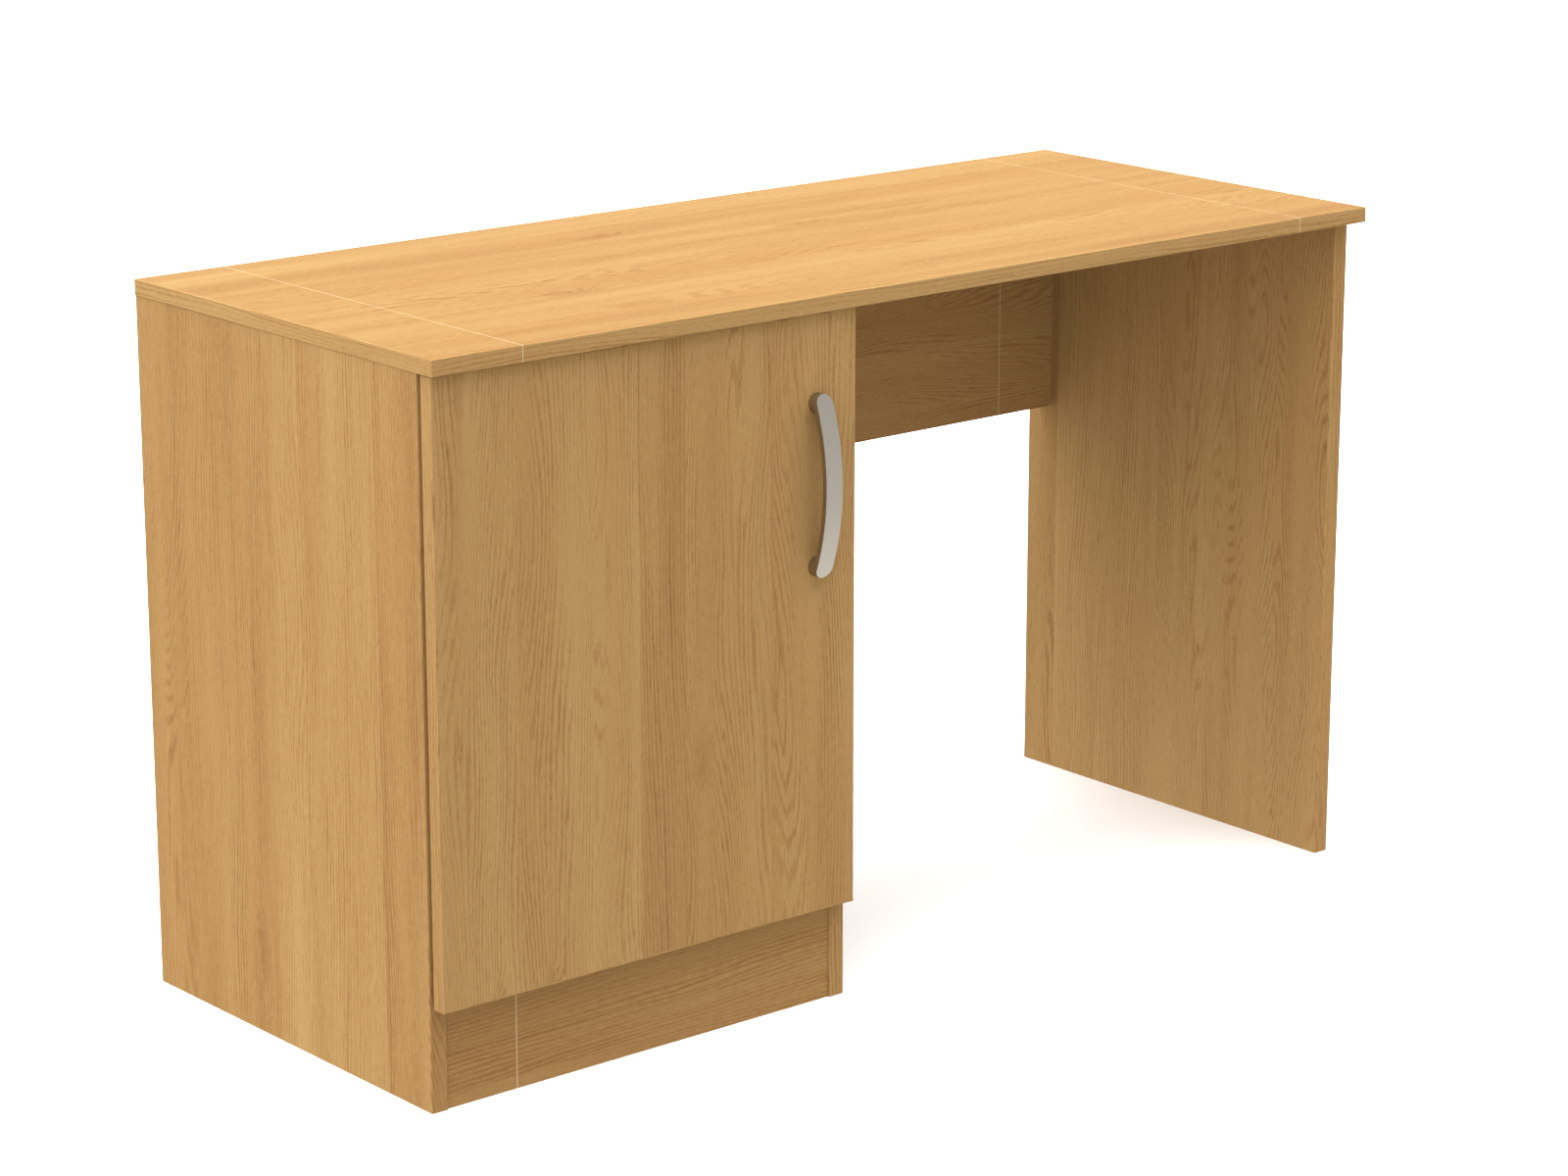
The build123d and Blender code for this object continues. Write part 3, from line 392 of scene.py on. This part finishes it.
def bare_beech():
    """Plain beech with the grain along x."""
    tree = new_material("bare_beech")
    fleck = tree.noise(tree.point(), BEECH_SCALE)
    tree.bump(fleck, BEECH_RELIEF)
    return tree.finish(tree.ramp(fleck, BEECH_COLOURS), BEECH_ROUGHNESS, specular=BEECH_SPECULAR)


# Metals and plastics

def metal(name, colour, roughness, scale, relief):
    """Metal with fine lines along the axis where the scale is smallest, or with grains if it is even."""
    tree = new_material(name)
    lines = tree.noise(tree.point(), scale, roughness=METAL_NOISE_ROUGHNESS)
    shade = tree.mix(tree.band(lines, *SHADE_BAND), times(colour, METAL_DARKER), colour)
    tree.bump(lines, relief)
    return tree.finish(shade, tree.vary(roughness, lines, METAL_ROUGHNESS_SPREAD), metallic=1.0)


def satin_handle_metal():
    return metal("satin_handle_metal", (0.40, 0.362, 0.308), 0.34, (1500.0, 1500.0, 30.0), BRUSHED_RELIEF)


def nickel_plated_steel():
    return metal("nickel_plated_steel", (0.72, 0.71, 0.68), 0.48, (900.0, 900.0, 120.0), BRUSHED_RELIEF)


def cast_zinc():
    return metal("cast_zinc", (0.42, 0.42, 0.43), 0.45, (1300.0, 1300.0, 1300.0), CAST_RELIEF)


def ferrite_magnet():
    return metal("ferrite_magnet", (0.08, 0.08, 0.085), 0.5, (1100.0, 1100.0, 1100.0), CAST_RELIEF)


def plastic(name, colour, roughness, grain):
    """Moulded plastic with a fine texture and faint clouds in its colour."""
    tree = new_material(name)
    texture = tree.noise(tree.point(), (grain, grain, grain))
    clouds = tree.noise(tree.point(), PLASTIC_CLOUD_SCALE)
    shade = tree.mix(tree.band(clouds, *SHADE_BAND), times(colour, PLASTIC_DARKER), colour)
    tree.bump(texture, PLASTIC_RELIEF)
    rough = tree.math("MULTIPLY_ADD", texture, PLASTIC_ROUGHNESS_SPREAD, roughness)
    return tree.finish(shade, rough, specular=PLASTIC_SPECULAR)


def block_plastic():
    return plastic("block_plastic", (0.3, 0.17, 0.07), 0.5, PLASTIC_GRAIN)


def catch_plastic():
    return plastic("catch_plastic", (0.7, 0.68, 0.62), 0.42, PLASTIC_GRAIN)


def bumper_rubber():
    return plastic("bumper_rubber", (0.55, 0.54, 0.5), 0.35, RUBBER_GRAIN)


# What each of the record's material slots is made of, other than the boards and their edging
SLOT_MATERIALS = {
    "satin_metal": satin_handle_metal,
    "bright_steel": nickel_plated_steel,
    "cast_zinc": cast_zinc,
    "magnet": ferrite_magnet,
    "beech": bare_beech,
    "block_plastic": block_plastic,
    "catch_plastic": catch_plastic,
    "bumper": bumper_rubber,
}


def print_place(index):
    """Where in the endless print a board is cut from, along, across and through it."""
    return [start + index * step for start, step in zip(PRINT_START, PRINT_STEP)]


def board_material(node, cut_from):
    """The oak print of a board, with its chipboard core."""
    grain, through, seams = BOARDS[node]
    low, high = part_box(node)
    core = (low[AXES[through]], high[AXES[through]])
    return oak(node + "_oak", grain, through, cut_from, seams, core, PAINTED_LIGHT_AND_SHADE.get(node, 0.0))


def edging_material(node, cut_from):
    """The oak print of an edging strip, with the grain along it."""
    low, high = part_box(node)
    thinnest, _, longest = sorted(AXES, key=lambda axis: (high - low)[AXES[axis]])
    return oak(node + "_oak", longest, thinnest, cut_from, node in SEAMED_EDGINGS)


def set_material(node, material):
    mesh = frame["nodes"][node].data
    mesh.materials.clear()
    mesh.materials.append(material)
    for polygon in mesh.polygons:
        polygon.material_index = 0


def dress_nodes():
    """Gives every CAD node its material."""
    slots = {entry["node"]: entry["material_slot"] for entry in frame["record"]["subparts"]}
    fittings = {slot: make() for slot, make in SLOT_MATERIALS.items()}
    for index, node in enumerate(sorted(frame["nodes"])):
        if node in BOARDS:
            material = board_material(node, print_place(index))
        elif slots[node] == "oak_edging":
            material = edging_material(node, print_place(index))
        else:
            material = fittings[slots[node]]
        set_material(node, material)


# Stage

def add_floor():
    """A floor that catches shadows but throws no light back at the desk, because the sky does that."""
    place = (0, 0, cad_box[0][2])
    bpy.ops.mesh.primitive_circle_add(
        vertices=FLOOR_SIDES, radius=FLOOR_RADIUS, fill_type="NGON", location=place
    )
    floor = bpy.context.object
    floor.name = "floor"
    tree = new_material("pale_floor")
    mottle = tree.noise(tree.point(), MOTTLE_SCALE)
    colour = tree.mix(mottle, FLOOR_COLOUR, times(FLOOR_COLOUR, MOTTLE_LIGHTER))
    floor.data.materials.append(tree.finish(colour, FLOOR_ROUGHNESS, specular=FLOOR_SPECULAR))
    floor.visible_diffuse = False
    floor.visible_glossy = False


def add_sun(name, strength, tilt):
    """A soft sun that shines down, tilted about the Y axis."""
    light = bpy.data.lights.new(name, "SUN")
    light.energy = strength
    light.angle = math.radians(SUN_SPREAD)
    sun = bpy.data.objects.new(name, light)
    bpy.context.scene.collection.objects.link(sun)
    sun.rotation_euler = (0.0, math.radians(tilt), 0.0)


def add_sky():
    """A white sky, brightest below the horizon."""
    world = bpy.data.worlds.new("studio")
    bpy.context.scene.world = world
    tree = Tree(world, "Background")
    direction = tree.add("ShaderNodeTexCoord").outputs["Generated"]
    heights = {"Value": tree.split(direction)["Z"], "From Min": -1.0, "From Max": 1.0}
    position = tree.add("ShaderNodeMapRange", heights).outputs[0]
    stops = [((height + 1) / 2, (level, level, level)) for height, level in SKY_LEVELS]
    tree.feed(tree.shader.inputs["Color"], tree.ramp(position, stops))
    tree.feed(tree.shader.inputs["Strength"], SKY_STRENGTH)


def add_camera():
    camera_data = bpy.data.cameras.new("camera")
    camera_data.lens = CAMERA_LENS_MM
    camera_data.sensor_width = SENSOR_MM
    camera = bpy.data.objects.new("camera", camera_data)
    bpy.context.scene.collection.objects.link(camera)
    camera.location = CAMERA_PLACE
    camera.rotation_euler = (math.radians(90 - CAMERA_DOWN), 0.0, math.radians(-CAMERA_TURN))
    bpy.context.scene.camera = camera


add_camera()
add_sky()
add_sun("overhead", OVERHEAD_STRENGTH, 0.0)
add_sun("from_left", LEFT_STRENGTH, LEFT_TILT)
add_floor()
dress_nodes()
bpy.context.scene.view_settings.view_transform = "Standard"
